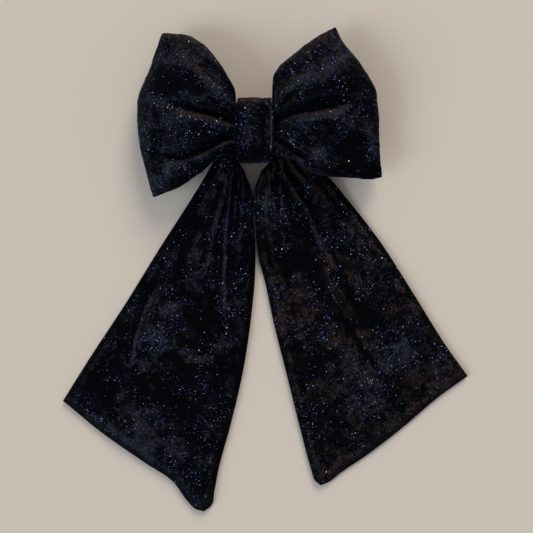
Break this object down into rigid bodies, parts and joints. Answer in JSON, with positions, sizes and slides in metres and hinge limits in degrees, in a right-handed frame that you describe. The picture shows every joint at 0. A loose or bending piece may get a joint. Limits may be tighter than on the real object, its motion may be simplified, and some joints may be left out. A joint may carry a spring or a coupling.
{
  "type": "hair bow",
  "caption": "Large padded velvet hair bow with long flared tails on a spring barrette, lying face up.",
  "frame": {"origin": "centre of the clasp arm's flat underside, on which the bow lies face up", "axes": "+X to the bow's right as it is looked at, +Y towards the top of the loops, +Z out of its front"},
  "size_m": [0.294, 0.3498, 0.043],
  "materials": {
    "velvet": "black crushed velvet with blue glitter dots",
    "wadding": "polyester wadding",
    "interlining": "felted interlining",
    "thread": "twisted polyester thread",
    "plated_steel": "nickel-plated pressed steel",
    "spring_steel": "rolled spring steel",
    "pin_steel": "turned steel wire"
  },
  "bodies": {
    "bow": {"loop_front_panel": "velvet", "loop_back_panel": "velvet", "left_loop_filling": "wadding", "right_loop_filling": "wadding", "loop_waist_thread": "thread", "tail_strip_middle": "velvet", "tail_waist_thread": "thread", "centre_band": "velvet", "band_stitches": "thread", "clip_base_plate": "plated_steel", "hinge_pin": "pin_steel", "catch_web": "plated_steel", "catch_rivet": "pin_steel"},
    "clasp_arm": {"clasp_arm": "plated_steel"},
    "tension_bar": {"tension_bar": "spring_steel"},
    "upper_tab": {"upper_catch_tab": "plated_steel"},
    "lower_tab": {"lower_catch_tab": "plated_steel"},
    "left_tail": {"left_tail_front": "velvet", "left_tail_back": "velvet", "left_tail_lining": "interlining"},
    "right_tail": {"right_tail_front": "velvet", "right_tail_back": "velvet", "right_tail_lining": "interlining"}
  },
  "joints": [
    {"name": "arm_hinge", "type": "hinge", "parent": "bow", "child": "clasp_arm", "pos_m": [-0.037, 0, 0.0019], "axis": [0, 1, 0], "range_deg": [0, 75]},
    {"name": "bar_flex", "type": "hinge", "parent": "bow", "child": "tension_bar", "pos_m": [-0.0325, 0, 0.0089], "axis": [0, -1, 0], "range_deg": [0, 2], "stiffness_Nm_per_rad": 2},
    {"name": "upper_tab_squeeze", "type": "hinge", "parent": "bow", "child": "upper_tab", "pos_m": [0.0345, 0.00225, 0.00936], "axis": [-1, 0, 0], "range_deg": [0, 8], "stiffness_Nm_per_rad": 0.12},
    {"name": "lower_tab_squeeze", "type": "hinge", "parent": "bow", "child": "lower_tab", "pos_m": [0.0345, -0.00225, 0.00936], "axis": [1, 0, 0], "range_deg": [0, 8], "stiffness_Nm_per_rad": 0.12},
    {"name": "left_tail_swing", "type": "hinge", "parent": "bow", "child": "left_tail", "pos_m": [-0.01595, -0.011, 0.01285], "axis": [0, 0, -1], "range_deg": [0, 12]},
    {"name": "right_tail_swing", "type": "hinge", "parent": "bow", "child": "right_tail", "pos_m": [0.01595, -0.011, 0.01285], "axis": [0, 0, 1], "range_deg": [0, 12]}
  ],
  "couplings": [
    {"joint": "lower_tab_squeeze", "follows": "upper_tab_squeeze", "ratio": 1}
  ]
}
